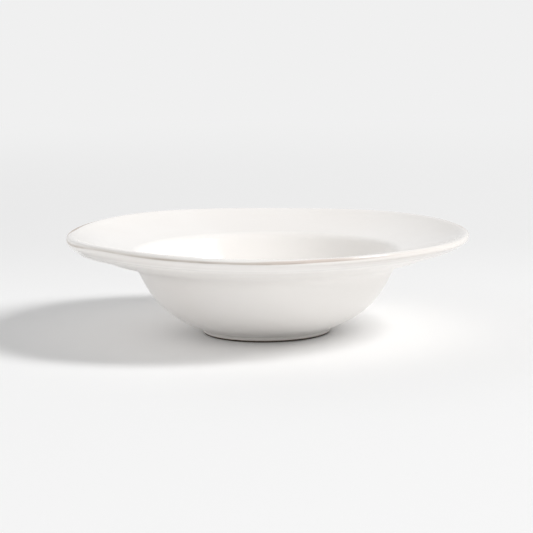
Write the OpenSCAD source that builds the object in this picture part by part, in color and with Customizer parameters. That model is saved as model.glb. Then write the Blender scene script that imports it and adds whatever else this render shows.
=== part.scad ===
// A wide-rimmed pasta bowl in glazed stoneware.
// The clay body is one swept section whose rim rises, falls and runs out of round,
// as a rim pulled by hand does. The glaze lies on it as a coat of its own thickness,
// and a ring of bare clay under the floor carries the bowl.
// The origin is on the table, in the middle of the foot ring, and the viewer is at -Y.

/* [Bowl] */
// Mean diameter over the edge of the rim
rim_d = 267; // [240:1:300]
// Mean height of the edge of the rim above the table
edge_h = 65.5; // [58:0.1:75]
// Thickness of the floor
floor_t = 5.6; // [4:0.1:9]
// Diameter of the flat part of the floor inside
floor_d = 70; // [60:1:86]

/* [Well] */
// Diameter of the soft crease where the well meets the rim
well_d = 173; // [164:0.5:180]
// Height of that crease above the table
well_h = 54.3; // [52:0.1:57]
// Radius of the soft crease
crease_r = 4; // [2:0.5:7]
// How far inside the crease the outside of the wall turns out into the rim
wall_in = 3.4; // [1:0.1:6]
// How far below the crease it turns
wall_drop = 13.9; // [10:0.1:16]

/* [Rim] */
// How far outside the crease the hollow turn under the rim ends
root_out = 21.6; // [12:0.1:28]
// How far below the crease the underside of the rim lies there
root_drop = 1.4; // [0:0.1:4]
// Mean thickness of the rim at its edge, measured upright
lip_t = 6.8; // [5:0.1:9]
// How far the top of the lip lies inside the edge
lip_top_in = 2; // [1.5:0.1:4]
// How far the top of the lip stands above the edge
lip_rise = 1.9; // [1:0.1:3]
// How far the rounding under the lip reaches inwards
lip_under_in = 4.1; // [2:0.1:6]
// How far the rounding inside the lip reaches inwards from its top
lip_roll_in = 3.2; // [2:0.1:6]
// How far the rounding inside the lip falls below its top
lip_roll_fall = 1; // [0.6:0.1:1.4]
// Depth of the dishing of the top of the rim
dish = 2.2; // [0:0.1:2.6]

/* [Foot ring] */
// Outer diameter of the foot ring
foot_d = 83.8; // [70:0.2:96]
// Height of the foot ring
foot_h = 4; // [3:0.1:6]
// Width of the foot ring
foot_w = 5.6; // [4:0.1:9]
// Rounding of the two lower edges of the foot ring
foot_round = 0.9; // [0.3:0.1:1.5]
// How far the body stands out over the foot ring
foot_step = 0.3; // [0.1:0.1:1]
// Height of the clay left bare outside, at the bottom of the foot ring
foot_bare_h = 1.1; // [0.9:0.1:2]

/* [Glaze] */
// Thickness of the glaze
glaze_t = 0.45; // [0.2:0.05:0.8]
// Thickness of the glaze on the edge of the lip, where it breaks thin
glaze_break_t = 0.2; // [0.1:0.05:0.4]
// Reach of the hollow turn in which the glaze runs from the foot ring into the wall
foot_turn = 1.2; // [0.4:0.1:1.4]
// Gap that the base glaze leaves inside the foot ring
glaze_gap = 0.3; // [0.1:0.1:1]

/* [Rise of the rim] */
// Height by which the rim leans to one side
lean_h = 0.7; // [0:0.1:2]
// Direction of the high side of the lean, in degrees
lean_dir = 184; // [0:1:359]
// Height of the wave with two crests
two_crest_h = 0.25; // [0:0.05:2]
// Direction of its first crest, in degrees
two_crest_dir = 60; // [0:1:359]
// Height of the wave with three crests
three_crest_h = 0.3; // [0:0.05:2]
// Direction of its first crest, in degrees
three_crest_dir = 0; // [0:1:359]
// Height of the wave with four crests
four_crest_h = 0.6; // [0:0.05:2]
// Direction of its first crest, in degrees
four_crest_dir = 43; // [0:1:359]

// How much thinner the rim is at its thin side than on average
thin_h = 1.25; // [0:0.05:1.5]
// Direction of the thin side, in degrees
thin_dir = 0; // [0:1:359]

/* [Outline of the rim] */
// Distance by which the outline lies off centre
off_centre = 1; // [0:0.1:2]
// Direction in which it lies off centre, in degrees
off_centre_dir = 323; // [0:1:359]
// How far the outline stands out at the ends of its oval
oval = 0.9; // [0:0.1:3]
// Direction of the long way of the oval, in degrees
oval_dir = 95; // [0:1:359]
// How far three soft corners stand out
three_corner = 0.6; // [0:0.1:2]
// Direction of the first of the three corners, in degrees
three_corner_dir = 10; // [0:1:359]
// How far four soft corners stand out
four_corner = 0.3; // [0:0.1:2]
// Direction of the first of the four corners, in degrees
four_corner_dir = 48; // [0:1:359]

/* [Hidden] */

// Steps round the bowl, and along each stretch of the section
turns = 60;
wall_steps = 7;
fillet_steps = 4;
rim_steps = 3;
lip_steps = 3;
roll_steps = 3;
// Steps back from the top of the lip to its sharpest turn, where the glaze is thinnest
well_steps = 6;
crease_steps = 3;
foot_steps = 3;
$fn = 96;

// Directions of the section, in degrees above the table, on the way out
wall_low_dir = 19.5;
wall_top_dir = 65;
root_dir = 25.5;
under_dir = 37.5;
well_dir = 62;
// Reach of the curves, as shares of the straight way between their ends
wall_low_share = 0.49;
wall_top_share = 0.3;
fillet_low_share = 0.4;
fillet_top_share = 0.35;
rim_share = 1/3;
lip_low_share = 0.3;
lip_share = 0.55;
belly_share = 0.2;
dish_share = 0.68;
roll_share = 0.35;
floor_share = 0.42;
well_share = 0.34;
hollow_share = 0.9;

// Main points of the clay's section, as radius and height
rim_r = rim_d/2;
foot_at = [foot_d/2 + foot_step, foot_h];
crease_at = [well_d/2, well_h];
wall_at = crease_at - [wall_in, wall_drop];
root_at = crease_at + [root_out, -root_drop];
edge_at = [rim_r, edge_h];
lip_top_at = edge_at + [-lip_top_in, lip_rise];
roll_at = lip_top_at - [lip_roll_in, lip_roll_fall];
under_at = [rim_r - lip_under_in, edge_h + lip_rise - lip_t];
belly_at = [rim_r, edge_h - belly_share*(edge_h - under_at.y)];
floor_z = foot_h + floor_t;
floor_at = [floor_d/2, floor_z];

function dir(a) = [cos(a), sin(a)];
function span(a, b) = norm(b - a);
function unit(v) = v/norm(v);

// A smooth curve from a to b that leaves along da and arrives along db
function curve(a, da, b, db, share_a, share_b, steps) =
    let(c = a + span(a, b)*share_a*da, d = b - span(a, b)*share_b*db)
    [for (i = [0:steps]) let(t = i/steps, u = 1 - t)
        u*u*u*a + 3*u*u*t*c + 3*u*t*t*d + t*t*t*b];

// A curve from a to b that leans towards the point pull
function bow(a, pull, b, steps) = [for (i = [0:steps]) let(t = i/steps, u = 1 - t)
    u*u*a + 2*u*t*pull + t*t*b];

function tail(list) = [for (i = [1:len(list) - 1]) list[i]];

// The outside of the clay, from the foot ring up to the edge of the lip
wall_line = curve(foot_at, dir(wall_low_dir), wall_at, dir(wall_top_dir),
    wall_low_share, wall_top_share, wall_steps);
fillet_line = curve(wall_at, dir(wall_top_dir), root_at, dir(root_dir),
    fillet_low_share, fillet_top_share, fillet_steps);
under_line = curve(root_at, dir(root_dir), under_at, dir(under_dir), rim_share, rim_share, rim_steps);
outside_line = concat(wall_line, tail(fillet_line), tail(under_line));

// The top of the rim falls from the lip to the crease along a dished line
dish_at = crease_at + dish_share*(roll_at - crease_at) - [0, dish];
rim_fall = unit(dish_at - roll_at);

// The lip, from its underside round the edge and over its top
lip_low_line = curve(under_at, dir(under_dir), belly_at, [0, 1], lip_low_share, lip_low_share, lip_steps);
lip_high_line = curve(belly_at, [0, 1], lip_top_at, [-1, 0], lip_share, lip_share, lip_steps);
roll_line = curve(lip_top_at, [-1, 0], roll_at, rim_fall, roll_share, roll_share, roll_steps);
lip_line = concat(lip_low_line, tail(lip_high_line), tail(roll_line));

// The inside of the clay, from the lip down to the flat of the floor
crease_out = crease_at + crease_r*unit(dish_at - crease_at);
crease_in = crease_at - crease_r*dir(well_dir);
rim_top_line = bow(roll_at, dish_at, crease_out, rim_steps + 1);
crease_line = bow(crease_out, crease_at, crease_in, crease_steps);
well_line = curve(crease_in, -dir(well_dir), floor_at, [-1, 0], well_share, floor_share, well_steps);
inside_line = concat(rim_top_line, tail(crease_line), tail(well_line));

// The whole open line of the clay, and the same line raised by the glaze
clay_line = concat(outside_line, tail(lip_line), tail(inside_line));
stations = len(clay_line);
lip_from = len(outside_line) - 1;
lip_edge = lip_from + lip_steps;
lip_to = lip_from + 2*lip_steps + roll_steps;

function normal_at(i) =
    let(a = clay_line[max(i - 1, 0)], b = clay_line[min(i + 1, stations - 1)], d = unit(b - a))
    [d.y, -d.x];

// The glaze is thinnest on the edge of the lip, and whole where the rest of the coat begins
function coat_at(i) =
    let(away = i < lip_edge ? (lip_edge - i)/(lip_edge - lip_from) : (i - lip_edge)/(lip_to - lip_edge))
    glaze_break_t + (glaze_t - glaze_break_t)*min(1, away)^2;

function coat_point(i) = clay_line[i] + coat_at(i)*normal_at(i);

glaze_floor = floor_at + [0, glaze_t];
coat_line = [for (i = [0:stations - 1]) i == stations - 1 ? glaze_floor : coat_point(i)];

// The coat outside begins on the foot ring, which it clears all round, and turns into the wall
// with a hollow that is limited by the height of the ring
skirt_r = foot_d/2/cos(180/turns);
skirt_end_at = [skirt_r + glaze_t, foot_bare_h];
skirt_turn_at = [skirt_r + glaze_t, foot_h - glaze_t];
skirt_room = skirt_turn_at.y - skirt_end_at.y - glaze_t;
skirt_turn = min(foot_turn, skirt_room*hollow_share);
skirt_line = concat(
    bow([skirt_r, foot_bare_h], skirt_end_at, skirt_end_at + [0, glaze_t], foot_steps),
    bow(skirt_turn_at - [0, skirt_turn], skirt_turn_at, skirt_turn_at + skirt_turn*dir(wall_low_dir), foot_steps));

function part_of(line, from, to) = [for (i = [from:to]) line[i]];
function reversed(line) = [for (i = [len(line) - 1:-1:0]) line[i]];

// How far the rim rises and stands out in the direction a
function rise(a) = lean_h*cos(a - lean_dir) + two_crest_h*cos(2*(a - two_crest_dir))
    + three_crest_h*cos(3*(a - three_crest_dir)) + four_crest_h*cos(4*(a - four_crest_dir));
function reach(a) = off_centre*cos(a - off_centre_dir) + oval*cos(2*(a - oval_dir))
    + three_corner*cos(3*(a - three_corner_dir)) + four_corner*cos(4*(a - four_corner_dir));

// The share of the wave at a radius: none inside the wall, all of it at the edge
function wave_share(r) = let(t = max(0, min(1, (r - wall_at.x)/(rim_r - wall_at.x)))) t*t*(3 - 2*t);

// The share of the rim's thickness that lies above a point: none on its top, all on its underside
function depth_share(p) =
    let(slope = (lip_top_at.y - well_h)/(lip_top_at.x - crease_at.x),
        top_h = well_h + slope*(p.x - crease_at.x) - dish/2)
    max(0, min(1, (top_h - p.y)/lip_t));

function placed(p, a) = let(w = wave_share(p.x), r = p.x + w*reach(a))
    [r*cos(a), r*sin(a), p.y + w*(rise(a) + depth_share(p)*thin_h*cos(a - thin_dir))];

// Sweeps a closed section round the axis, through the waves of the rim. The points of the
// section run anticlockwise, seen with the radius to the right. One on the axis is a pole.
module swept(section) {
    starts = [for (i = 0, s = 0; i < len(section); s = s + (section[i].x == 0 ? 1 : turns), i = i + 1) s];
    points = [for (p = section) each p.x == 0 ? [[0, 0, p.y]] :
        [for (k = [0:turns - 1]) placed(p, 360*k/turns)]];
    faces = [for (i = [0:len(section) - 1])
        let(j = (i + 1) % len(section), a = starts[i], b = starts[j],
            pole_a = section[i].x == 0, pole_b = section[j].x == 0)
        each pole_a && pole_b ? [] :
            [for (k = [0:turns - 1]) let(m = (k + 1) % turns)
                each pole_a ? [[a, b + k, b + m]] :
                    pole_b ? [[a + k, b, a + m]] :
                    [[a + k, b + k, b + m], [a + k, b + m, a + m]]]];
    polyhedron(points, faces, convexity = 6);
}

// The fired clay: floor, wall and rim in one piece
module bowl_body() {
    color("#cdbda7")
        swept(concat([[0, foot_h]], clay_line, [[0, floor_z]]));
}

// The ring of bare clay that the bowl stands on
module foot_ring() {
    outer = foot_d/2;
    inner = outer - foot_w;
    color("#b8a48c")
        rotate_extrude() union() {
            translate([inner, foot_round]) square([foot_w, foot_h - foot_round]);
            translate([inner + foot_round, 0]) square([foot_w - 2*foot_round, foot_h]);
            translate([inner + foot_round, foot_round]) circle(foot_round);
            translate([outer - foot_round, foot_round]) circle(foot_round);
        }
}

// The glaze of the well and of the top of the rim
module inside_glaze() {
    color("#f6f2ec")
        swept(concat([[0, floor_z]], reversed(part_of(clay_line, lip_to, stations - 1)),
            part_of(coat_line, lip_to, stations - 1), [[0, floor_z + glaze_t]]));
}

// The thin glaze round the lip, through which the clay shows
module lip_glaze() {
    color("#d9c4ad")
        swept(concat(part_of(coat_line, lip_from, lip_to), reversed(part_of(clay_line, lip_from, lip_to))));
}

// The glaze of the foot ring's outside, of the wall and of the underside of the rim
module outside_glaze() {
    color("#efebe4")
        swept(concat(skirt_line, part_of(coat_line, 1, lip_from), reversed(part_of(clay_line, 0, lip_from)),
            [[skirt_r, foot_h]]));
}

// The glaze on the underside of the floor, inside the foot ring
module base_glaze() {
    color("#e9e4dc")
        translate([0, 0, foot_h - glaze_t])
            cylinder(r = foot_d/2 - foot_w - glaze_gap, h = glaze_t);
}

bowl_body();
foot_ring();
inside_glaze();
lip_glaze();
outside_glaze();
base_glaze();
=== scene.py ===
"""Looks of a wide-rimmed stoneware pasta bowl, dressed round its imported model.

The clay, the foot ring and the coats of glaze are turned from the same section as the solids,
with the same waves in the rim, and get the finish of the real bowl. Sizes are in millimetres
until a point is placed, and everything placed is in metres.
"""

from __future__ import annotations

import logging
import math
from dataclasses import dataclass, field
from enum import Enum
from typing import Any, Callable, Iterable, Sequence

import bpy
from mathutils import Matrix, Vector

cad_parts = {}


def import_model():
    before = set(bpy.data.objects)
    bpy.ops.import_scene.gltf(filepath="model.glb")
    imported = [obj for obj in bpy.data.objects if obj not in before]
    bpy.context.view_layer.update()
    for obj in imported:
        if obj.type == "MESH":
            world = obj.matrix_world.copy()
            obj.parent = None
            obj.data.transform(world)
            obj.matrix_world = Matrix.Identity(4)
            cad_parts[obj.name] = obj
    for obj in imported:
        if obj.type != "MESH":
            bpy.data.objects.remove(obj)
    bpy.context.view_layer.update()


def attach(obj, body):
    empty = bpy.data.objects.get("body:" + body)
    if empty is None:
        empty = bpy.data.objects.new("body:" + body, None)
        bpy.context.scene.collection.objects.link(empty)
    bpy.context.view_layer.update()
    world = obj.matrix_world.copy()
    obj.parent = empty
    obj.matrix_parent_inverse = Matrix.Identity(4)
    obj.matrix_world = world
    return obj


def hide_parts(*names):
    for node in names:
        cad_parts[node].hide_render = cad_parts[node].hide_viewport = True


MM = 0.001
ONE_POINT = 0.002 * MM
ON_TABLE = 0.01 * MM
UP = Vector((0, 0, 1))
BODY = "root"
WHITE = (1.0, 1.0, 1.0)
log = logging.getLogger("pasta_bowl")

Point = tuple[float, float]
Colour = tuple[float, float, float]
CoatPoint = tuple[Vector, float, float]


def towards(angle: float) -> Vector:
    """Unit direction in the section, at an angle in degrees above the table."""
    return Vector((math.cos(math.radians(angle)), math.sin(math.radians(angle))))


def curve(
    a: Vector, leave: Vector, b: Vector, arrive: Vector, shares: Point, steps: int
) -> list[Vector]:
    """Smooth curve in the section.

    Args:
        a: First point.
        leave: Unit direction in which it leaves a.
        b: Last point.
        arrive: Unit direction in which it arrives at b.
        shares: Reach of the two handles, as shares of the straight way.
        steps: Number of steps.

    Returns:
        The points from a to b.
    """
    way = (b - a).length
    c, d = a + leave * way * shares[0], b - arrive * way * shares[1]
    points = []
    for i in range(steps + 1):
        t = i / steps
        u = 1 - t
        points.append(u * u * u * a + 3 * u * u * t * c + 3 * u * t * t * d + t * t * t * b)
    return points


def bow(a: Vector, pull: Vector, b: Vector, steps: int) -> list[Vector]:
    """Curve from a to b that leans towards the point pull."""
    points = []
    for i in range(steps + 1):
        t = i / steps
        u = 1 - t
        points.append(u * u * a + 2 * u * t * pull + t * t * b)
    return points


def joined(*lines: Sequence[Vector]) -> list[Vector]:
    """Lines that share their end points, as one line."""
    whole = list(lines[0])
    for line in lines[1:]:
        whole.extend(line[1:])
    return whole


@dataclass(frozen=True)
class Waves:
    """Rise, outline and thickness of the hand-formed rim, in millimetres and degrees.

    Each row holds the wave with one crest round the rim, the one with two and so on, as its
    height and the direction of a crest.
    """

    start_r: float
    end_r: float
    top: Callable[[float], float]
    rim_t: float
    thins: tuple[Point, ...] = ((1.25, 0),)
    rises: tuple[Point, ...] = ((0.7, 184), (0.25, 60), (0.3, 0), (0.6, 43))
    reaches: tuple[Point, ...] = ((1.0, 323), (0.9, 95), (0.6, 10), (0.3, 48))

    @staticmethod
    def _sum(waves: Iterable[Point], angle: float) -> float:
        """Sum of the waves at an angle in radians."""
        return sum(
            size * math.cos((k + 1) * (angle - math.radians(crest)))
            for k, (size, crest) in enumerate(waves)
        )

    def share(self, r: float) -> float:
        """Share of the wave at a radius: none inside the wall, all of it at the edge."""
        t = min(max((r - self.start_r) / (self.end_r - self.start_r), 0.0), 1.0)
        return t * t * (3 - 2 * t)

    def depth(self, r: float, z: float) -> float:
        """Share of the rim's thickness above a point: none on its top, all on its underside."""
        return min(max((self.top(r) - z) / self.rim_t, 0.0), 1.0)

    def shift(self, place: Vector) -> Vector:
        """How far the waves move a point.

        Args:
            place: A point of the turned surface, in metres.

        Returns:
            The movement, in metres.
        """
        r = math.hypot(place.x, place.y)
        share = self.share(r / MM)
        if share == 0:
            return Vector((0, 0, 0))
        angle = math.atan2(place.y, place.x)
        reach = share * self._sum(self.reaches, angle) * MM
        thin = self.depth(r / MM, place.z / MM) * self._sum(self.thins, angle)
        rise = share * (self._sum(self.rises, angle) + thin) * MM
        return Vector((place.x / r * reach, place.y / r * reach, rise))


class Coat(Enum):
    """Stretches of the section that a coat of glaze covers."""

    OUTSIDE = "outside"
    LIP = "lip"
    INSIDE = "inside"


@dataclass(frozen=True)
class Section:
    """Section of the clay and of the glaze on it, in millimetres and degrees.

    The sizes are those of the solids, apart from the glaze on the edge of the lip. It is a little
    thinner here, which keeps the finer steps inside the solids' box. A pair of shares is the reach
    of the two handles of a curve.
    """

    rim_d: float = 267
    edge_h: float = 65.5
    floor_t: float = 5.6
    floor_d: float = 70
    well_d: float = 173
    well_h: float = 54.3
    crease_r: float = 4
    wall_in: float = 3.4
    wall_drop: float = 13.9
    root_out: float = 21.6
    root_drop: float = 1.4
    lip_t: float = 6.8
    lip_top_in: float = 2
    lip_rise: float = 1.9
    lip_under_in: float = 4.1
    lip_roll_in: float = 3.2
    lip_roll_fall: float = 1
    dish: float = 2.2
    foot_d: float = 83.8
    foot_h: float = 4
    foot_w: float = 5.6
    foot_step: float = 0.3
    foot_bare_h: float = 1.1
    foot_turn: float = 1.2
    glaze_t: float = 0.45
    glaze_break_t: float = 0.16
    glaze_gap: float = 0.3
    seam: float = 0.03
    wall_low_dir: float = 19.5
    wall_top_dir: float = 65
    root_dir: float = 25.5
    under_dir: float = 37.5
    well_dir: float = 62
    dish_at: float = 0.68
    belly_at: float = 0.2
    wall_shares: Point = (0.49, 0.3)
    fillet_shares: Point = (0.4, 0.35)
    under_shares: Point = (1 / 3, 1 / 3)
    lip_low_shares: Point = (0.3, 0.3)
    lip_shares: Point = (0.55, 0.55)
    roll_shares: Point = (0.35, 0.35)
    well_shares: Point = (0.34, 0.42)
    wall_steps: int = 14
    fillet_steps: int = 8
    under_steps: int = 6
    lip_steps: int = 6
    roll_steps: int = 5
    top_steps: int = 8
    crease_steps: int = 6
    well_steps: int = 14
    skirt_steps: int = 3

    @property
    def crease(self) -> Vector:
        """The sharp corner that the soft crease rounds."""
        return Vector((self.well_d / 2, self.well_h))

    @property
    def wall_top(self) -> Vector:
        """Where the outside of the wall turns out into the rim."""
        return self.crease - Vector((self.wall_in, self.wall_drop))

    @property
    def foot_start(self) -> Vector:
        """Where the outside of the body starts, over the foot ring."""
        return Vector((self.foot_d / 2 + self.foot_step, self.foot_h))

    @property
    def edge(self) -> Vector:
        """The edge of the lip."""
        return Vector((self.rim_d / 2, self.edge_h))

    @property
    def lip_top(self) -> Vector:
        """The top of the lip."""
        return self.edge + Vector((-self.lip_top_in, self.lip_rise))

    @property
    def roll(self) -> Vector:
        """Where the rounding inside the lip ends."""
        return self.lip_top - Vector((self.lip_roll_in, self.lip_roll_fall))

    @property
    def lip_under(self) -> Vector:
        """Where the rounding under the lip starts."""
        height = self.edge_h + self.lip_rise - self.lip_t
        return Vector((self.rim_d / 2 - self.lip_under_in, height))

    @property
    def dish_pull(self) -> Vector:
        """The point that pulls the top of the rim down into a shallow dish."""
        return self.crease.lerp(self.roll, self.dish_at) - Vector((0, self.dish))

    def waves(self) -> Waves:
        """The waves of a rim with this section."""
        slope = (self.lip_top.y - self.crease.y) / (self.lip_top.x - self.crease.x)
        return Waves(
            start_r=self.wall_top.x,
            end_r=self.rim_d / 2,
            top=lambda r: self.crease.y + slope * (r - self.crease.x) - self.dish / 2,
            rim_t=self.lip_t,
        )

    def outside(self, fine: int) -> list[Vector]:
        """Clay line from the foot to the underside of the lip, in steps fine times as many."""
        root = self.crease + Vector((self.root_out, -self.root_drop))
        low, top = towards(self.wall_low_dir), towards(self.wall_top_dir)
        out, up = towards(self.root_dir), towards(self.under_dir)
        steps = self.wall_steps * fine
        wall = curve(self.foot_start, low, self.wall_top, top, self.wall_shares, steps)
        fillet = curve(self.wall_top, top, root, out, self.fillet_shares, self.fillet_steps * fine)
        under = curve(root, out, self.lip_under, up, self.under_shares, self.under_steps * fine)
        return joined(wall, fillet, under)

    def lip(self, fine: int) -> list[Vector]:
        """Clay line round the lip, from its underside over its top."""
        belly = self.edge.lerp(Vector((self.rim_d / 2, self.lip_under.y)), self.belly_at)
        fall = (self.dish_pull - self.roll).normalized()
        rise, over, steps = towards(90), towards(180), self.lip_steps * fine
        start = towards(self.under_dir)
        low = curve(self.lip_under, start, belly, rise, self.lip_low_shares, steps)
        high = curve(belly, rise, self.lip_top, over, self.lip_shares, steps)
        steps = self.roll_steps * fine
        roll = curve(self.lip_top, over, self.roll, fall, self.roll_shares, steps)
        return joined(low, high, roll)

    def inside(self, fine: int) -> list[Vector]:
        """Clay line from the lip down to the flat of the floor."""
        out = self.crease + self.crease_r * (self.dish_pull - self.crease).normalized()
        rise = towards(self.well_dir)
        back = self.crease - self.crease_r * rise
        floor = Vector((self.floor_d / 2, self.foot_h + self.floor_t))
        top = bow(self.roll, self.dish_pull, out, self.top_steps * fine)
        crease = bow(out, self.crease, back, self.crease_steps * fine)
        steps = self.well_steps * fine
        well = curve(back, -rise, floor, towards(180), self.well_shares, steps)
        return joined(top, crease, well)

    def clay(self, fine: int) -> list[Vector]:
        """The whole open line of the clay, from the foot to the flat of the floor."""
        return joined(self.outside(fine), self.lip(fine), self.inside(fine))

    @property
    def skirt_end(self) -> float:
        """Radius at which the glaze of the foot ring has turned into that of the wall."""
        return self.foot_d / 2 + self.glaze_t + self.foot_turn

    def skirt(self, fine: int, way: float) -> list[CoatPoint]:
        """The glaze on the outside of the foot ring, and the hollow turn into the wall.

        Args:
            fine: Factor on the number of steps.
            way: Way along the section at which the clay's own line starts.

        Returns:
            The points, each with its thickness and its way.
        """
        r, t = self.foot_d / 2 + self.glaze_t, self.glaze_t
        end, turn = Vector((r, self.foot_bare_h)), Vector((r, self.foot_h - t))
        steps = self.skirt_steps * fine
        bead = bow(end - Vector((t, 0)), end, end + Vector((0, t)), steps)
        low = turn - Vector((0, self.foot_turn))
        out = turn + self.foot_turn * towards(self.wall_low_dir)
        hollow = bow(low, turn, out, steps)
        return [(place, t, way - (turn - place).length) for place in (*bead, *hollow)]

    def coats(self, fine: int) -> dict[Coat, list[CoatPoint]]:
        """The line of the glaze, coat by coat.

        Args:
            fine: Factor on the number of steps.

        Returns:
            For each coat its points, each with the thickness of the glaze there and the way
            along the section from the edge of the lip, positive inwards.
        """
        line = self.clay(fine)
        low = len(self.outside(fine)) - 1
        high = low + len(self.lip(fine)) - 1
        edge = low + self.lip_steps * fine
        ways = [0.0]
        for a, b in zip(line, line[1:]):
            ways.append(ways[-1] + (b - a).length)
        made = []
        for i, place in enumerate(line):
            away = (edge - i) / (edge - low) if i < edge else (i - edge) / (high - edge)
            more = (self.glaze_t - self.glaze_break_t) * min(1.0, away) ** 2
            thick = self.glaze_break_t + more
            along = line[min(i + 1, len(line) - 1)] - line[max(i - 1, 0)]
            out = Vector((along.y, -along.x)).normalized()
            if i == len(line) - 1:
                out = Vector((0, 1))
            made.append((place + out * thick, thick, ways[i] - ways[edge]))

        def beside(i: int, way: float) -> CoatPoint:
            """A point close beside point i, so that two coats that meet there share one slope."""
            along = (made[i + 1][0] - made[i - 1][0]).normalized()
            return made[i][0] + along * way, made[i][1], made[i][2] + way

        seam = self.seam
        floor = made[-1]
        middle = (Vector((0, floor[0].y)), floor[1], floor[2] + floor[0].x)
        return {
            Coat.OUTSIDE: [
                *self.skirt(fine, made[0][2]),
                *(m for m in made[:low] if m[0].x > self.skirt_end),
                beside(low, -seam),
                made[low],
            ],
            Coat.LIP: [
                made[low],
                beside(low, seam),
                *made[low + 1 : high],
                beside(high, -seam),
                made[high],
            ],
            Coat.INSIDE: [made[high], beside(high, seam), *made[high + 1 :], middle],
        }


class Bench:
    """Modelling steps with Blender's own operators, each on one piece."""

    @staticmethod
    def clear() -> None:
        """Leaves edit mode and selects nothing."""
        if bpy.context.object and bpy.context.object.mode != "OBJECT":
            bpy.ops.object.mode_set(mode="OBJECT")
        bpy.ops.object.select_all(action="DESELECT")

    @staticmethod
    def pick(piece: bpy.types.Object) -> None:
        """Makes the piece the one selected and active object."""
        Bench.clear()
        piece.select_set(True)
        bpy.context.view_layer.objects.active = piece

    @staticmethod
    def trace(name: str, line: Sequence[Vector]) -> bpy.types.Object:
        """Draws a section line in the plane of X and Z.

        Args:
            name: Name of the new piece.
            line: Points as radius and height, in millimetres.

        Returns:
            The piece, in edit mode, with its last point selected.
        """
        Bench.clear()
        start = Vector((line[0].x, 0, line[0].y)) * MM
        bpy.ops.mesh.primitive_plane_add(size=MM, location=start)
        piece = bpy.context.object
        piece.name = piece.data.name = name
        bpy.ops.object.transform_apply(location=True, rotation=False, scale=False)
        bpy.ops.object.mode_set(mode="EDIT")
        bpy.ops.mesh.select_mode(type="VERT")
        bpy.ops.mesh.select_all(action="SELECT")
        bpy.ops.mesh.merge(type="CENTER")
        for a, b in zip(line, line[1:]):
            step = Vector((b.x - a.x, 0, b.y - a.y)) * MM
            bpy.ops.mesh.extrude_region_move(TRANSFORM_OT_translate={"value": step})
        return piece

    @staticmethod
    def turn(
        name: str, line: Sequence[Vector], turns: int, outwards: Callable[[Vector], Vector]
    ) -> bpy.types.Object:
        """Turns a section line round the axis into a surface.

        Args:
            name: Name of the new piece.
            line: Points as radius and height, in millimetres.
            turns: Steps round the axis.
            outwards: Rough outward direction of the surface at a place.

        Returns:
            The piece, in object mode.
        """
        piece = Bench.trace(name, line)
        bpy.ops.mesh.select_all(action="SELECT")
        bpy.ops.mesh.spin(steps=turns, angle=2 * math.pi, center=(0, 0, 0), axis=UP)
        bpy.ops.mesh.select_all(action="SELECT")
        bpy.ops.mesh.remove_doubles(threshold=ONE_POINT)
        bpy.ops.mesh.normals_make_consistent(inside=False)
        bpy.ops.object.mode_set(mode="OBJECT")
        faces = piece.data.polygons
        if sum(face.normal.dot(outwards(face.center)) * face.area for face in faces) < 0:
            bpy.ops.object.mode_set(mode="EDIT")
            bpy.ops.mesh.select_all(action="SELECT")
            bpy.ops.mesh.flip_normals()
            bpy.ops.object.mode_set(mode="OBJECT")
        return piece

    @staticmethod
    def group(piece: bpy.types.Object, name: str, weights: Sequence[float]) -> str:
        """Makes a vertex group with one weight for each vertex, and returns its name."""
        made = piece.vertex_groups.new(name=name)
        for index, weight in enumerate(weights):
            if weight > 0:
                made.add([index], weight, "REPLACE")
        return made.name

    @staticmethod
    def apply(piece: bpy.types.Object, kind: str, **settings: Any) -> None:
        """Adds a modifier with these settings and applies it."""
        Bench.pick(piece)
        modifier = piece.modifiers.new(kind.lower(), kind)
        for key, value in settings.items():
            setattr(modifier, key, value)
        bpy.ops.object.modifier_apply(modifier=modifier.name)

    @staticmethod
    def warp(piece: bpy.types.Object, waves: Waves) -> None:
        """Moves the rim of a turned piece through its waves, one direction at a time."""
        shifts = [waves.shift(vertex.co) for vertex in piece.data.vertices]
        for axis in range(3):
            for sign in (1, -1):
                parts = [max(0.0, sign * shift[axis]) for shift in shifts]
                most = max(parts)
                if most == 0:
                    continue
                shares = [part / most for part in parts]
                name = Bench.group(piece, f"wave_{axis}_{sign}", shares)
                Bench.apply(piece, "DISPLACE", direction="XYZ"[axis], mid_level=0.0,
                            strength=sign * most, vertex_group=name)
        piece.vertex_groups.clear()

    @staticmethod
    def waver(
        piece: bpy.types.Object, amount: float, scale: float, weights: Sequence[float]
    ) -> None:
        """Lets the surface waver as a hand-turned one does.

        Args:
            piece: The piece to displace along its normals.
            amount: Whole range of the displacement, in metres.
            scale: Size of the swells, in metres.
            weights: Share of the displacement for each vertex.
        """
        swell = bpy.data.textures.new(piece.name + "_swell", "CLOUDS")
        swell.noise_scale = scale
        swell.noise_depth = 1
        group = Bench.group(piece, "waver", weights)
        Bench.apply(piece, "DISPLACE", direction="NORMAL", mid_level=0.5, strength=amount,
                    texture=swell, texture_coords="LOCAL", vertex_group=group)
        bpy.data.textures.remove(swell)

    @staticmethod
    def smooth(piece: bpy.types.Object, angle: float = 40) -> None:
        """Shades the piece smooth across edges flatter than the angle, in degrees."""
        Bench.pick(piece)
        bpy.ops.object.shade_smooth_by_angle(angle=math.radians(angle))


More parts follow.
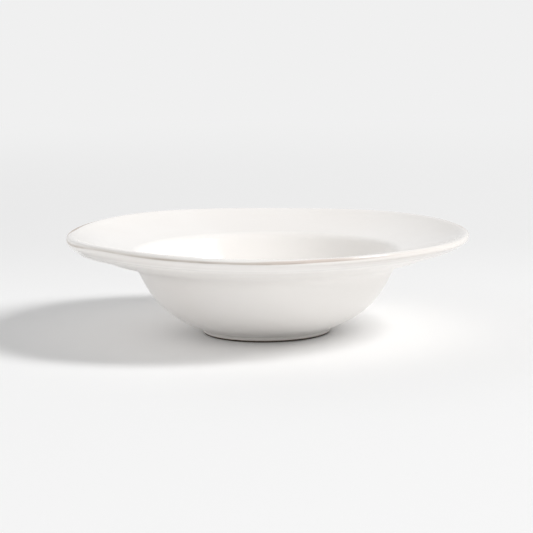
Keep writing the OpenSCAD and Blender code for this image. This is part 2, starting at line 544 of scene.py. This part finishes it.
class Wire:
    """A socket that takes part in sums and products."""

    def __init__(self, tree: bpy.types.NodeTree, socket: bpy.types.NodeSocket) -> None:
        """Wraps an output socket of a tree."""
        self.tree = tree
        self.socket = socket

    def _math(self, operation: str, *values: Wire | float) -> Wire:
        """A Math node on these values."""
        return node(self.tree, "ShaderNodeMath", {"operation": operation}, *values)

    def __add__(self, other: Wire | float) -> Wire:
        """Sum."""
        return self._math("ADD", self, other)

    __radd__ = __add__

    def __sub__(self, other: Wire | float) -> Wire:
        """Difference."""
        return self._math("SUBTRACT", self, other)

    def __rsub__(self, other: float) -> Wire:
        """Difference from a number."""
        return self._math("SUBTRACT", other, self)

    def __mul__(self, other: Wire | float) -> Wire:
        """Product."""
        return self._math("MULTIPLY", self, other)

    __rmul__ = __mul__

    def __abs__(self) -> Wire:
        """Size without its sign."""
        return self._math("ABSOLUTE", self)

    def clamped(self) -> Wire:
        """Kept from 0 to 1."""
        return node(self.tree, "ShaderNodeMath", {"operation": "ADD", "use_clamp": True}, self, 0.0)

    def step(self, low: float, high: float) -> Wire:
        """0 below low and 1 above high, smooth between, and turned round if low is larger."""
        settings = {"interpolation_type": "SMOOTHSTEP"}
        if low > high:
            return node(self.tree, "ShaderNodeMapRange", settings, self, high, low, 1.0, 0.0)
        return node(self.tree, "ShaderNodeMapRange", settings, self, low, high, 0.0, 1.0)


def node(
    tree: bpy.types.NodeTree,
    kind: str,
    settings: dict[str, Any] | None = None,
    *values: Wire | float | Colour | None,
    output: int | str = 0,
    **named: Any,
) -> Wire:
    """Adds a node of any type.

    Args:
        tree: Tree that gets the node.
        kind: Type of the node.
        settings: Properties of the node, set before its sockets.
        *values: Values or wires of its first inputs in order; None leaves one as it is.
        output: Output socket that is returned.
        **named: Values or wires of inputs by name, with spaces as underscores.

    Returns:
        The output socket as a wire.
    """
    made = tree.nodes.new(kind)
    for key, value in (settings or {}).items():
        setattr(made, key, value)
    pairs = [(made.inputs[i], value) for i, value in enumerate(values) if value is not None]
    pairs += [(made.inputs[key.replace("_", " ")], value) for key, value in named.items()]
    for socket, value in pairs:
        if isinstance(value, Wire):
            tree.links.new(value.socket, socket)
        elif isinstance(value, tuple) and socket.type == "RGBA":
            socket.default_value = (*value, 1.0)
        else:
            socket.default_value = value
    return Wire(tree, made.outputs[output])


def mixed(
    tree: bpy.types.NodeTree, factor: Wire | float, a: Wire | Colour, b: Wire | Colour
) -> Wire:
    """Mixes two colours.

    Args:
        tree: Tree that gets the node.
        factor: 0 for colour a and 1 for colour b.
        a: First colour.
        b: Second colour.

    Returns:
        The colour as a wire.
    """
    made = tree.nodes.new("ShaderNodeMix")
    made.data_type = "RGBA"
    sockets = {s.identifier: s for s in made.inputs}
    for key, value in (("Factor_Float", factor), ("A_Color", a), ("B_Color", b)):
        if isinstance(value, Wire):
            tree.links.new(value.socket, sockets[key])
        else:
            sockets[key].default_value = (*value, 1.0) if isinstance(value, tuple) else value
    return Wire(tree, next(s for s in made.outputs if s.identifier == "Result_Color"))


@dataclass(frozen=True)
class Mottle:
    """Noise from 0 to 1 with swells of about one over the scale, in metres."""

    scale: float
    detail: float = 2
    rough: float = 0.5

    def at(self, tree: bpy.types.NodeTree, place: Wire) -> Wire:
        """Adds it to a tree."""
        return node(
            tree, "ShaderNodeTexNoise", {},
            Vector=place, Scale=self.scale, Detail=self.detail, Roughness=self.rough,
        )


@dataclass(frozen=True)
class Zone:
    """A stretch over which something comes in, from none at its start to its share at its end."""

    start: float
    end: float
    share: float = 1.0

    def of(self, wire: Wire) -> Wire:
        """How much of it there is at each value of a wire."""
        amount = wire.step(self.start, self.end)
        return amount if self.share == 1 else amount * self.share


def new_material(name: str) -> tuple[bpy.types.Material, bpy.types.NodeTree, bpy.types.Node, Wire]:
    """Starts a material.

    Args:
        name: Name of the material.

    Returns:
        The material, its tree, its Principled node and the object coordinates.
    """
    material = bpy.data.materials.new(name)
    material.use_nodes = True
    tree = material.node_tree
    shader = tree.nodes["Principled BSDF"]
    place = node(tree, "ShaderNodeTexCoord", output="Object")
    return material, tree, shader, place


def feed(tree: bpy.types.NodeTree, shader: bpy.types.Node, **values: Wire | float | Colour) -> None:
    """Sets or links sockets of a shader by name, with spaces as underscores."""
    for key, value in values.items():
        socket = shader.inputs[key.replace("_", " ")]
        if isinstance(value, Wire):
            tree.links.new(value.socket, socket)
        else:
            socket.default_value = (*value, 1.0) if isinstance(value, tuple) else value


@dataclass(frozen=True)
class Glaze:
    """Glossy white glaze that breaks to the tan clay where it is thin.

    Zones across and away are in metres. Zones along are in millimetres from the edge of the lip,
    positive inwards, and zones over the foot in millimetres from the end of the glaze. The
    others are of noise.
    """

    name: str
    white: Colour = (0.945, 0.92, 0.895)
    cream: Colour = (0.92, 0.89, 0.86)
    painted_light_milk: Colour = (0.985, 0.96, 0.93)
    tan: Colour = (0.46, 0.37, 0.29)
    rust: Colour = (0.5, 0.355, 0.275)
    brown: Colour = (0.2, 0.15, 0.11)
    painted_shade_grey: Colour = (0.42, 0.395, 0.365)
    clouds: Mottle = Mottle(14, 3)
    cream_in: Zone = Zone(0.35, 0.7)
    # Where the break is wider: the rear of the rim's two tips, and a stretch right of the middle
    behind: Zone = Zone(-0.03, 0.02)
    left_tip: Zone = Zone(-0.102, -0.128)
    right_tip: Zone = Zone(0.1, 0.125)
    front_from: Zone = Zone(-0.02, 0.01)
    front_to: Zone = Zone(0.07, 0.04)
    tip_width: float = 2.6
    front_width: float = 0.8
    # Heat of the rim, which sets how strong the break is
    heats: tuple[Zone, ...] = (
        Zone(0.02, -0.03, 0.25),
        Zone(0.11, 0.03, 0.34),
        Zone(-0.122, -0.13, 0.2),
        Zone(0.129, 0.133, 0.3),
    )
    cool_from: Zone = Zone(-0.122, -0.112)
    cool_to: Zone = Zone(-0.055, -0.09, 0.3)
    left_heat: float = 0.4
    right_heat: float = 0.35
    front_heat: float = 0.16
    # How far the break lies inside the edge
    left_lift: Zone = Zone(-0.06, -0.12)
    tip_drop: Zone = Zone(-0.1, -0.13)
    tip_drop_near: Zone = Zone(0.02, -0.05, 1.4)
    right_lift: Zone = Zone(0.0, 0.04, 0.6)
    wander: Mottle = Mottle(28)
    wander_by: float = 0.6
    # The break itself, and the darker line in it
    patches: Mottle = Mottle(17)
    patch_in: Zone = Zone(0.25, 0.6, 0.35)
    band_in: Zone = Zone(2.1, 0.8)
    band_out: Zone = Zone(-0.1, 0.6)
    line_at: float = 0.7
    line_in: Zone = Zone(0.6, 0.1)
    flecks: Mottle = Mottle(45)
    fleck_in: Zone = Zone(0.36, 0.6, 0.5)
    # Faint tan round the break on the right
    blush: Zone = Zone(0.0, 0.09, 0.16)
    blush_in: Zone = Zone(2.8, 1.6)
    blush_out: Zone = Zone(-4, -1.2)
    warm: Zone = Zone(-0.02, 0.02)
    # The end of the glaze on the foot
    bead: Zone = Zone(0.9, 0.2)
    bead_mottle: Mottle = Mottle(60)
    bead_by: float = 0.5
    bead_least: float = 0.4
    # Painted shade that darkens the glaze: inside the lip on the near side, most on the left, and
    # on the right side, and over the foot
    inside_lip: Zone = Zone(1, 5)
    inside_lip_to: Zone = Zone(34, 6)
    near_side: Zone = Zone(0.07, -0.03)
    painted_shade_left: Zone = Zone(-0.03, -0.1, 0.16)
    painted_shade_all: float = 0.1
    painted_shade_right: Zone = Zone(0.06, 0.13, 0.18)
    painted_shade_foot: Zone = Zone(4.2, 1.8, 0.36)
    # Painted light, whiter glaze: under the rim and towards the right of the wall and of the well
    painted_light_in: Zone = Zone(-3.5, -8)
    painted_light_out: Zone = Zone(-44, -26, 0.7)
    painted_light_wall: Zone = Zone(-30, -50)
    painted_light_well: Zone = Zone(46, 56)
    painted_light_right: Zone = Zone(-0.06, 0.03, 0.9)
    rough: float = 0.1
    wall_rough: float = 0.3
    satin_in: Zone = Zone(-3.5, -9)
    sheen: Mottle = Mottle(90)
    sheen_by: float = 0.06
    band_rough: float = 0.15
    bead_rough: float = 0.2
    peel: Mottle = Mottle(260)
    peel_strength: float = 0.06
    peel_depth: float = 0.05 * MM
    refraction: float = 1.5

    def _heat(self, x: Wire, left: Wire, right: Wire, front: Wire) -> Wire:
        """Heat of the rim, from where it lies across and from its tips and its front."""
        first, *others = (zone.of(x) for zone in self.heats)
        heat = sum(others, first) - self.cool_from.of(x) * self.cool_to.of(x)
        return heat + left * self.left_heat + right * self.right_heat + front * self.front_heat

    def _painted_shade(self, x: Wire, y: Wire, along: Wire, foot: Wire) -> Wire:
        """How much painted shade darkens the glaze."""
        inside = self.inside_lip.of(along)
        near_lip = inside * self.inside_lip_to.of(along) * self.near_side.of(y)
        lip = near_lip * (self.painted_shade_left.of(x) + self.painted_shade_all) + inside * self.painted_shade_right.of(x)
        return self.painted_shade_foot.of(foot) + lip

    def build(self) -> bpy.types.Material:
        """Makes the material, from the attributes `along` and `foot` and the object's own place."""
        material, tree, shader, place = new_material(self.name)
        along, foot = (
            node(tree, "ShaderNodeAttribute", {"attribute_name": name}, output="Fac")
            for name in ("along", "foot")
        )
        x, y = (node(tree, "ShaderNodeSeparateXYZ", {}, place, output=axis) for axis in "XY")
        behind = self.behind.of(y)
        left, right = behind * self.left_tip.of(x), behind * self.right_tip.of(x)
        front = self.front_from.of(x) * self.front_to.of(x)
        heat = self._heat(x, left, right, front)
        width = (left + right) * self.tip_width + front * self.front_width
        drop = self.tip_drop.of(x) * self.tip_drop_near.of(y)
        lift = self.left_lift.of(x) - drop + self.right_lift.of(x)
        way = along + (self.wander.at(tree, place) - 0.5) * self.wander_by - lift
        patch = self.patch_in.of(self.patches.at(tree, place)) + (1 - self.patch_in.share)
        band = self.band_in.of(way - width) * self.band_out.of(way) * heat * patch
        flecks = self.fleck_in.of(self.flecks.at(tree, place))
        line = self.line_in.of(abs(way - self.line_at)) * heat * flecks
        blush = self.blush.of(x) * self.blush_in.of(way) * self.blush_out.of(way)
        mottle = self.bead_mottle.at(tree, place) * self.bead_by + self.bead_least
        bead = self.bead.of(foot) * mottle
        clouds = self.cream_in.of(self.clouds.at(tree, place))
        # Painted light: the glaze is whiter in the hollow under the rim and on the right of the
        # wall and well
        painted_light_sides = self.painted_light_wall.of(along) + self.painted_light_well.of(along)
        painted_light = self.painted_light_in.of(along) * self.painted_light_out.of(along)
        painted_light = (painted_light + painted_light_sides * self.painted_light_right.of(x)).clamped()
        colour = mixed(tree, painted_light, mixed(tree, clouds, self.white, self.cream), self.painted_light_milk)
        # Painted shade: the glaze darkens inside the lip on the near side and on the right, and
        # over the foot
        colour = mixed(tree, self._painted_shade(x, y, along, foot), colour, self.painted_shade_grey)
        colour = mixed(tree, blush, colour, self.tan)
        broken = mixed(tree, self.warm.of(x), self.tan, self.rust)
        colour = mixed(tree, band.clamped(), colour, broken)
        colour = mixed(tree, line.clamped(), colour, self.brown)
        colour = mixed(tree, bead.clamped(), colour, self.tan)
        # Under the rim and on the wall the glaze is less bright than on the lip and inside
        satin = self.satin_in.of(along) * (self.wall_rough - self.rough)
        sheen = (self.sheen.at(tree, place) - 0.5) * self.sheen_by
        rough = sheen + band * self.band_rough + bead * self.bead_rough + satin + self.rough
        bump = node(
            tree, "ShaderNodeBump", {}, output="Normal",
            Strength=self.peel_strength, Distance=self.peel_depth, Height=self.peel.at(tree, place),
        )
        feed(tree, shader, Base_Color=colour, Roughness=rough.clamped(), Normal=bump)
        feed(tree, shader, IOR=self.refraction)
        return material


@dataclass(frozen=True)
class BareClay:
    """Fired stoneware without glaze, dry and slightly gritty."""

    name: str
    # Partly the clay's own brown and partly painted shade: darkened so that the ring on the table
    # reads as the dark line of shade under the foot
    light: Colour = (0.11, 0.088, 0.07)
    dark: Colour = (0.065, 0.053, 0.044)
    grit: Colour = (0.035, 0.03, 0.026)
    clouds: Mottle = Mottle(60, 4, 0.6)
    dark_in: Zone = Zone(0.35, 0.65)
    grit_scale: float = 520
    grit_in: Zone = Zone(0.16, 0.08, 0.6)
    grain: Mottle = Mottle(1400)
    grain_strength: float = 0.5
    grain_depth: float = 0.12 * MM
    rough: float = 0.68
    rough_by: float = 0.15
    refraction: float = 1.45

    def build(self) -> bpy.types.Material:
        """Makes the material."""
        material, tree, shader, place = new_material(self.name)
        clouds = self.clouds.at(tree, place)
        grit = node(
            tree, "ShaderNodeTexVoronoi", {}, output="Distance",
            Vector=place, Scale=self.grit_scale,
        )
        colour = mixed(tree, self.dark_in.of(clouds), self.light, self.dark)
        colour = mixed(tree, self.grit_in.of(grit), colour, self.grit)
        bump = node(
            tree, "ShaderNodeBump", {}, output="Normal",
            Strength=self.grain_strength, Distance=self.grain_depth,
            Height=self.grain.at(tree, place),
        )
        rough = clouds * self.rough_by + self.rough
        feed(tree, shader, Base_Color=colour, Roughness=rough, Normal=bump, IOR=self.refraction)
        return material


@dataclass
class Piece:
    """A finished piece and what it stands for."""

    made: bpy.types.Object
    node: str
    slot: str
    material: bpy.types.Material

    def fit(self) -> None:
        """Puts the piece on its body in place of its solid."""
        self.made.data.materials.clear()
        self.made.data.materials.append(self.material)
        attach(self.made, BODY)
        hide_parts(self.node)
        faces = len(self.made.data.polygons)
        log.info("%s stands for %s: %d faces", self.made.name, self.node, faces)


@dataclass
class Clay:
    """The fired clay: the body of the bowl and its foot ring."""

    section: Section
    waves: Waves
    turns: int = 160
    fine: int = 1
    foot_round: float = 0.9
    round_steps: int = 5

    def body(self) -> bpy.types.Object:
        """Turns the body as one closed shape."""
        line = self.section.clay(self.fine)
        floor_z = self.section.foot_h + self.section.floor_t
        whole = [Vector((0, self.section.foot_h)), *line, Vector((0, floor_z))]
        middle = Vector((0, 0, floor_z)) * MM
        piece = Bench.turn("clay_body", whole, self.turns, lambda p: p - middle)
        Bench.warp(piece, self.waves)
        Bench.smooth(piece)
        return piece

    def foot_ring(self) -> bpy.types.Object:
        """Turns the foot ring and rounds the edges that it stands on."""
        outer = self.section.foot_d / 2
        inner = outer - self.section.foot_w
        top = self.section.foot_h
        corners = ((inner, top), (inner, 0), (outer, 0), (outer, top), (inner, top))
        loop = [Vector(corner) for corner in corners]
        middle = (inner + outer) / 2 * MM

        def outwards(p: Vector) -> Vector:
            """From the middle of the ring's own section."""
            flat = Vector((p.x, p.y, 0)).normalized() * middle
            return p - flat - UP * (top / 2 * MM)

        piece = Bench.turn("clay_foot_ring", loop, self.turns, outwards)
        self._round_lower_edges(piece)
        Bench.smooth(piece)
        return piece

    def _round_lower_edges(self, piece: bpy.types.Object) -> None:
        """Rounds the two edges of a ring that lie on the table."""
        Bench.pick(piece)
        bpy.ops.object.mode_set(mode="EDIT")
        bpy.ops.mesh.select_mode(type="EDGE")
        bpy.ops.mesh.select_all(action="DESELECT")
        bpy.ops.object.mode_set(mode="OBJECT")
        vertices = piece.data.vertices
        for edge in piece.data.edges:
            a, b = (vertices[i].co for i in edge.vertices)
            level = max(a.z, b.z) < ON_TABLE
            edge.select = level and abs(a.xy.length - b.xy.length) < ON_TABLE
        bpy.ops.object.mode_set(mode="EDIT")
        bpy.ops.mesh.bevel(offset=self.foot_round * MM, segments=self.round_steps, affect="EDGES")
        bpy.ops.object.mode_set(mode="OBJECT")


@dataclass
class Glazing:
    """The coats of glaze, each a thin shell on the clay.

    The surface wavers by waver_amount, but not within lip_calm of the edge of the lip, and comes
    to its whole waver over swell_in. The base coat is finished as the floor of the well is, by
    base_value for its way along the section and for its distance from the foot.
    """

    section: Section
    waves: Waves
    turns: int = 240
    fine: int = 2
    waver_amount: float = 0.35 * MM
    waver_scale: float = 55 * MM
    lip_calm: float = 5
    swell_in: float = 14
    lip_heart: float = 0.97
    base_shares: Point = (0.5, 0.5)
    base_steps: int = 5
    base_ring: float = 0.6
    base_value: float = 100
    names: dict[Coat, str] = field(default_factory=lambda: {
        Coat.OUTSIDE: "wall_and_underside_glaze",
        Coat.LIP: "lip_glaze_coat",
        Coat.INSIDE: "well_and_rim_glaze",
    })

    def _outwards(self, coat: Coat) -> Callable[[Vector], Vector]:
        """Rough outward direction of a coat's surface, as a function of the place."""
        heart = self.lip_heart * MM
        r, z = self.section.lip_top.x * heart, self.section.edge_h * heart
        ways = {
            Coat.OUTSIDE: lambda p: Vector((p.x, p.y, -p.xy.length)),
            Coat.LIP: lambda p: p - Vector((p.x, p.y, 0)).normalized() * r - UP * z,
            Coat.INSIDE: lambda p: UP,
        }
        return ways[coat]

    def coat(self, coat: Coat) -> bpy.types.Object:
        """Makes one coat: its face is turned and waved, and then gets its thickness inwards."""
        points = self.section.coats(self.fine)[coat]
        line = [point[0] for point in points]
        piece = Bench.turn(self.names[coat], line, self.turns, self._outwards(coat))
        weights = self._mark(piece, points)
        Bench.warp(piece, self.waves)
        ways = (item.value for item in piece.data.attributes["along"].data)
        calm = [min(1.0, max(0.0, abs(way) - self.lip_calm) / self.swell_in) for way in ways]
        Bench.waver(piece, self.waver_amount, self.waver_scale, calm)
        group = Bench.group(piece, "thickness", weights)
        Bench.apply(piece, "SOLIDIFY", thickness=self.section.glaze_t * MM, offset=-1, use_rim=True,
                    vertex_group=group, thickness_vertex_group=0.0)
        piece.vertex_groups.clear()
        Bench.smooth(piece)
        return piece

    def _mark(self, piece: bpy.types.Object, points: Sequence[CoatPoint]) -> list[float]:
        """Writes each vertex's way along the section, and its distance from the bead on the foot.

        Args:
            piece: The turned coat, before it is waved.
            points: The coat's points with their thickness and way.

        Returns:
            For each vertex the thickness of the glaze as a share of the full one.
        """
        along = piece.data.attributes.new("along", "FLOAT", "POINT")
        foot = piece.data.attributes.new("foot", "FLOAT", "POINT")
        end = self.section.skirt(1, 0)[0][0]
        known: dict[Point, CoatPoint] = {}
        weights = []
        for i, vertex in enumerate(piece.data.vertices):
            at = Vector((vertex.co.xy.length, vertex.co.z)) / MM
            key = (round(at.x, 2), round(at.y, 2))
            if key not in known:
                known[key] = min(points, key=lambda p: (p[0] - at).length_squared)
            place, thick, way = known[key]
            along.data[i].value = way
            foot.data[i].value = (place - end).length
            weights.append(thick / self.section.glaze_t)
        return weights

    def base(self) -> bpy.types.Object:
        """Makes the glaze under the floor, inside the foot ring, with a rounded edge."""
        reach = self.section.foot_d / 2 - self.section.foot_w - self.section.glaze_gap
        top, low = self.section.foot_h, self.section.foot_h - self.section.glaze_t
        thick = self.section.glaze_t
        start, end = Vector((reach, top)), Vector((reach - thick, low))
        edge = curve(start, towards(-90), end, towards(180), self.base_shares, self.base_steps)
        ring = Vector((reach * self.base_ring, low))
        line = [Vector((0, top)), *edge, ring, Vector((0, low))]
        middle = Vector((0, 0, (top + low) / 2)) * MM
        piece = Bench.turn("base_recess_glaze", line, self.turns, lambda p: p - middle)
        for name in ("along", "foot"):
            attribute = piece.data.attributes.new(name, "FLOAT", "POINT")
            for item in attribute.data:
                item.value = self.base_value
        Bench.smooth(piece)
        return piece


@dataclass(frozen=True)
class Viewpoint:
    """Where the photograph was taken from, in metres, degrees and pixels of its frame.

    The width of the sensor is in millimetres.
    """

    distance: float = 1.3
    elevation: float = 8.95
    aim_height: float = 0.032
    focal_px: float = 1956.5
    frame_px: float = 533
    aim_px: Point = (265.73, 283.12)
    roll: float = -0.66
    sensor: float = 36
    clip: Point = (0.05, 200)

    def build(self) -> bpy.types.Object:
        """Makes the camera and makes it the scene's."""
        e, r = math.radians(self.elevation), math.radians(self.roll)
        back = Vector((0, -math.cos(e), math.sin(e)))
        level = Vector((1, 0, 0))
        rise = back.cross(level)
        right = math.cos(r) * level + math.sin(r) * rise
        over = -math.sin(r) * level + math.cos(r) * rise
        middle = (self.frame_px - 1) / 2
        aside = (self.aim_px[0] - middle) / self.focal_px
        below = (self.aim_px[1] - middle) / self.focal_px
        look = (-back - aside * right + below * over).normalized()
        right = look.cross(over).normalized()
        over = right.cross(look)
        data = bpy.data.cameras.new("camera")
        data.sensor_width = self.sensor
        data.lens = self.focal_px / self.frame_px * self.sensor
        data.clip_start, data.clip_end = self.clip
        camera = bpy.data.objects.new("camera", data)
        place = Vector((0, 0, self.aim_height)) + back * self.distance
        turned = Matrix((right, over, -look)).transposed().to_4x4()
        camera.matrix_world = Matrix.Translation(place) @ turned
        bpy.context.collection.objects.link(camera)
        bpy.context.scene.camera = camera
        return camera


@dataclass(frozen=True)
class Studio:
    """Pale floor, a sky that looks even, and one soft lamp high on the right.

    Lengths are in metres and angles in degrees. The floor shows its own colour up to near, and
    the backdrop's tone from far on. Its colour darkens towards the back, painted shade for the
    light falling off. Close to the bowl, except on its left, the floor's colour is a little darker,
    painted shade, so that the light there doesn't bleach it.
    """

    sky: float = 0.547
    sky_lean: float = -0.68
    back_lean: float = 0.3
    horizon_glow: float = 1.46
    backdrop: float = 0.872
    floor_colour: Colour = (0.93, 0.93, 0.93)
    back_shade_colour: Colour = (0.865, 0.865, 0.865)
    beside_shade_colour: Colour = (0.9, 0.9, 0.9)
    floor_turn: Zone = Zone(0.05, 0.5)
    beside: Zone = Zone(0.3, 0.12)
    beside_from: Zone = Zone(-0.08, 0.02)
    floor_rough: float = 0.9
    floor_gloss: float = 0.1
    floor_size: float = 120
    near: float = 0.6
    far: float = 1.9
    key_power: float = 955
    key_azimuth: float = -17
    key_elevation: float = 41.5
    key_distance: float = 12
    key_size: Point = (3.84, 3.2)

    def build(self) -> None:
        """Makes the floor, the sky and the lamp."""
        self._floor()
        self._sky()
        self._key()
        bpy.context.scene.view_settings.view_transform = "Standard"

    @staticmethod
    def _is_seen(tree: bpy.types.NodeTree) -> Wire:
        """1 for rays that show the background: from the camera, or by gloss or glass."""
        seen = tree.nodes.new("ShaderNodeLightPath")
        kinds = ("Camera", "Glossy", "Transmission")
        parts = [Wire(tree, seen.outputs[f"Is {kind} Ray"]) for kind in kinds]
        return (parts[0] + parts[1] + parts[2]).clamped()

    def _floor(self) -> None:
        """A wide floor that turns into the backdrop's even tone with distance."""
        Bench.clear()
        bpy.ops.mesh.primitive_plane_add(size=self.floor_size)
        floor = bpy.context.object
        floor.name = "floor"
        material, tree, shader, place = new_material("pale_floor")
        x, y = (node(tree, "ShaderNodeSeparateXYZ", {}, place, output=axis) for axis in "XY")
        reach = node(tree, "ShaderNodeVectorMath", {"operation": "LENGTH"}, place, output="Value")
        # Painted shade: the floor darkens towards the back, and close to the bowl except on its
        # left
        colour = mixed(tree, self.floor_turn.of(y), self.floor_colour, self.back_shade_colour)
        beside = self.beside.of(reach) * self.beside_from.of(x)
        colour = mixed(tree, beside, colour, self.beside_shade_colour)
        feed(tree, shader, Base_Color=colour)
        feed(tree, shader, Roughness=self.floor_rough, Specular_IOR_Level=self.floor_gloss)
        glow = node(tree, "ShaderNodeEmission", {}, Color=WHITE, Strength=self.backdrop)
        factor = reach.step(self.near, self.far) * self._is_seen(tree)
        mix = tree.nodes.new("ShaderNodeMixShader")
        tree.links.new(factor.socket, mix.inputs[0])
        tree.links.new(shader.outputs[0], mix.inputs[1])
        tree.links.new(glow.socket, mix.inputs[2])
        tree.links.new(mix.outputs[0], tree.nodes["Material Output"].inputs["Surface"])
        floor.data.materials.append(material)

    def _sky(self) -> None:
        """A sky that looks even, and lights more from the left, from behind and from low down."""
        world = bpy.data.worlds.new("even_sky")
        bpy.context.scene.world = world
        world.use_nodes = True
        tree = world.node_tree
        shade = tree.nodes["Background"]
        way = node(tree, "ShaderNodeTexCoord", output="Generated")
        across, away, up = (
            node(tree, "ShaderNodeSeparateXYZ", {}, way, output=axis) for axis in "XYZ"
        )
        lean = across * self.sky_lean + away * self.back_lean
        # The mean of the glow, as the floor gets it, is a third of its strength at the horizon
        glow = (1 - abs(up)) * self.horizon_glow + lean + 1
        light = glow * (self.sky / (1 + self.horizon_glow / 3))
        seen = self._is_seen(tree)
        strength = seen * self.backdrop + (1 - seen) * light
        feed(tree, shade, Color=WHITE, Strength=strength)

    def _key(self) -> None:
        """The lamp, which faces the bowl."""
        a, e = math.radians(self.key_azimuth), math.radians(self.key_elevation)
        way = Vector((math.cos(e) * math.cos(a), math.cos(e) * math.sin(a), math.sin(e)))
        data = bpy.data.lights.new("key", "AREA")
        data.shape = "RECTANGLE"
        data.size, data.size_y = self.key_size
        data.energy = self.key_power
        lamp = bpy.data.objects.new("key", data)
        across = Vector((0, 1, 0)).cross(way).normalized()
        along = way.cross(across)
        turned = Matrix((across, along, way)).transposed().to_4x4()
        lamp.matrix_world = Matrix.Translation(way * self.key_distance) @ turned
        bpy.context.collection.objects.link(lamp)


def main() -> None:
    """Builds the camera, the pieces and the studio in order."""
    logging.basicConfig(level=logging.INFO, format="%(name)s: %(message)s")
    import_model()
    Viewpoint().build()
    section = Section()
    waves = section.waves()
    clay = Clay(section, waves)
    glazing = Glazing(section, waves)
    coat = glazing.coat
    bare = BareClay("dry_clay").build()
    pieces = [
        Piece(clay.body(), "bowl_body", "clay", BareClay("covered_clay").build()),
        Piece(clay.foot_ring(), "foot_ring", "bare_clay", bare),
        Piece(coat(Coat.INSIDE), "inside_glaze", "inside_glaze", Glaze("well_glaze").build()),
        Piece(coat(Coat.LIP), "lip_glaze", "lip_glaze", Glaze("breaking_glaze").build()),
        Piece(coat(Coat.OUTSIDE), "outside_glaze", "outside_glaze", Glaze("wall_glaze").build()),
        Piece(glazing.base(), "base_glaze", "base_glaze", Glaze("recess_glaze").build()),
    ]
    for piece in pieces:
        piece.fit()
    Studio().build()


if __name__ == "__main__":
    main()
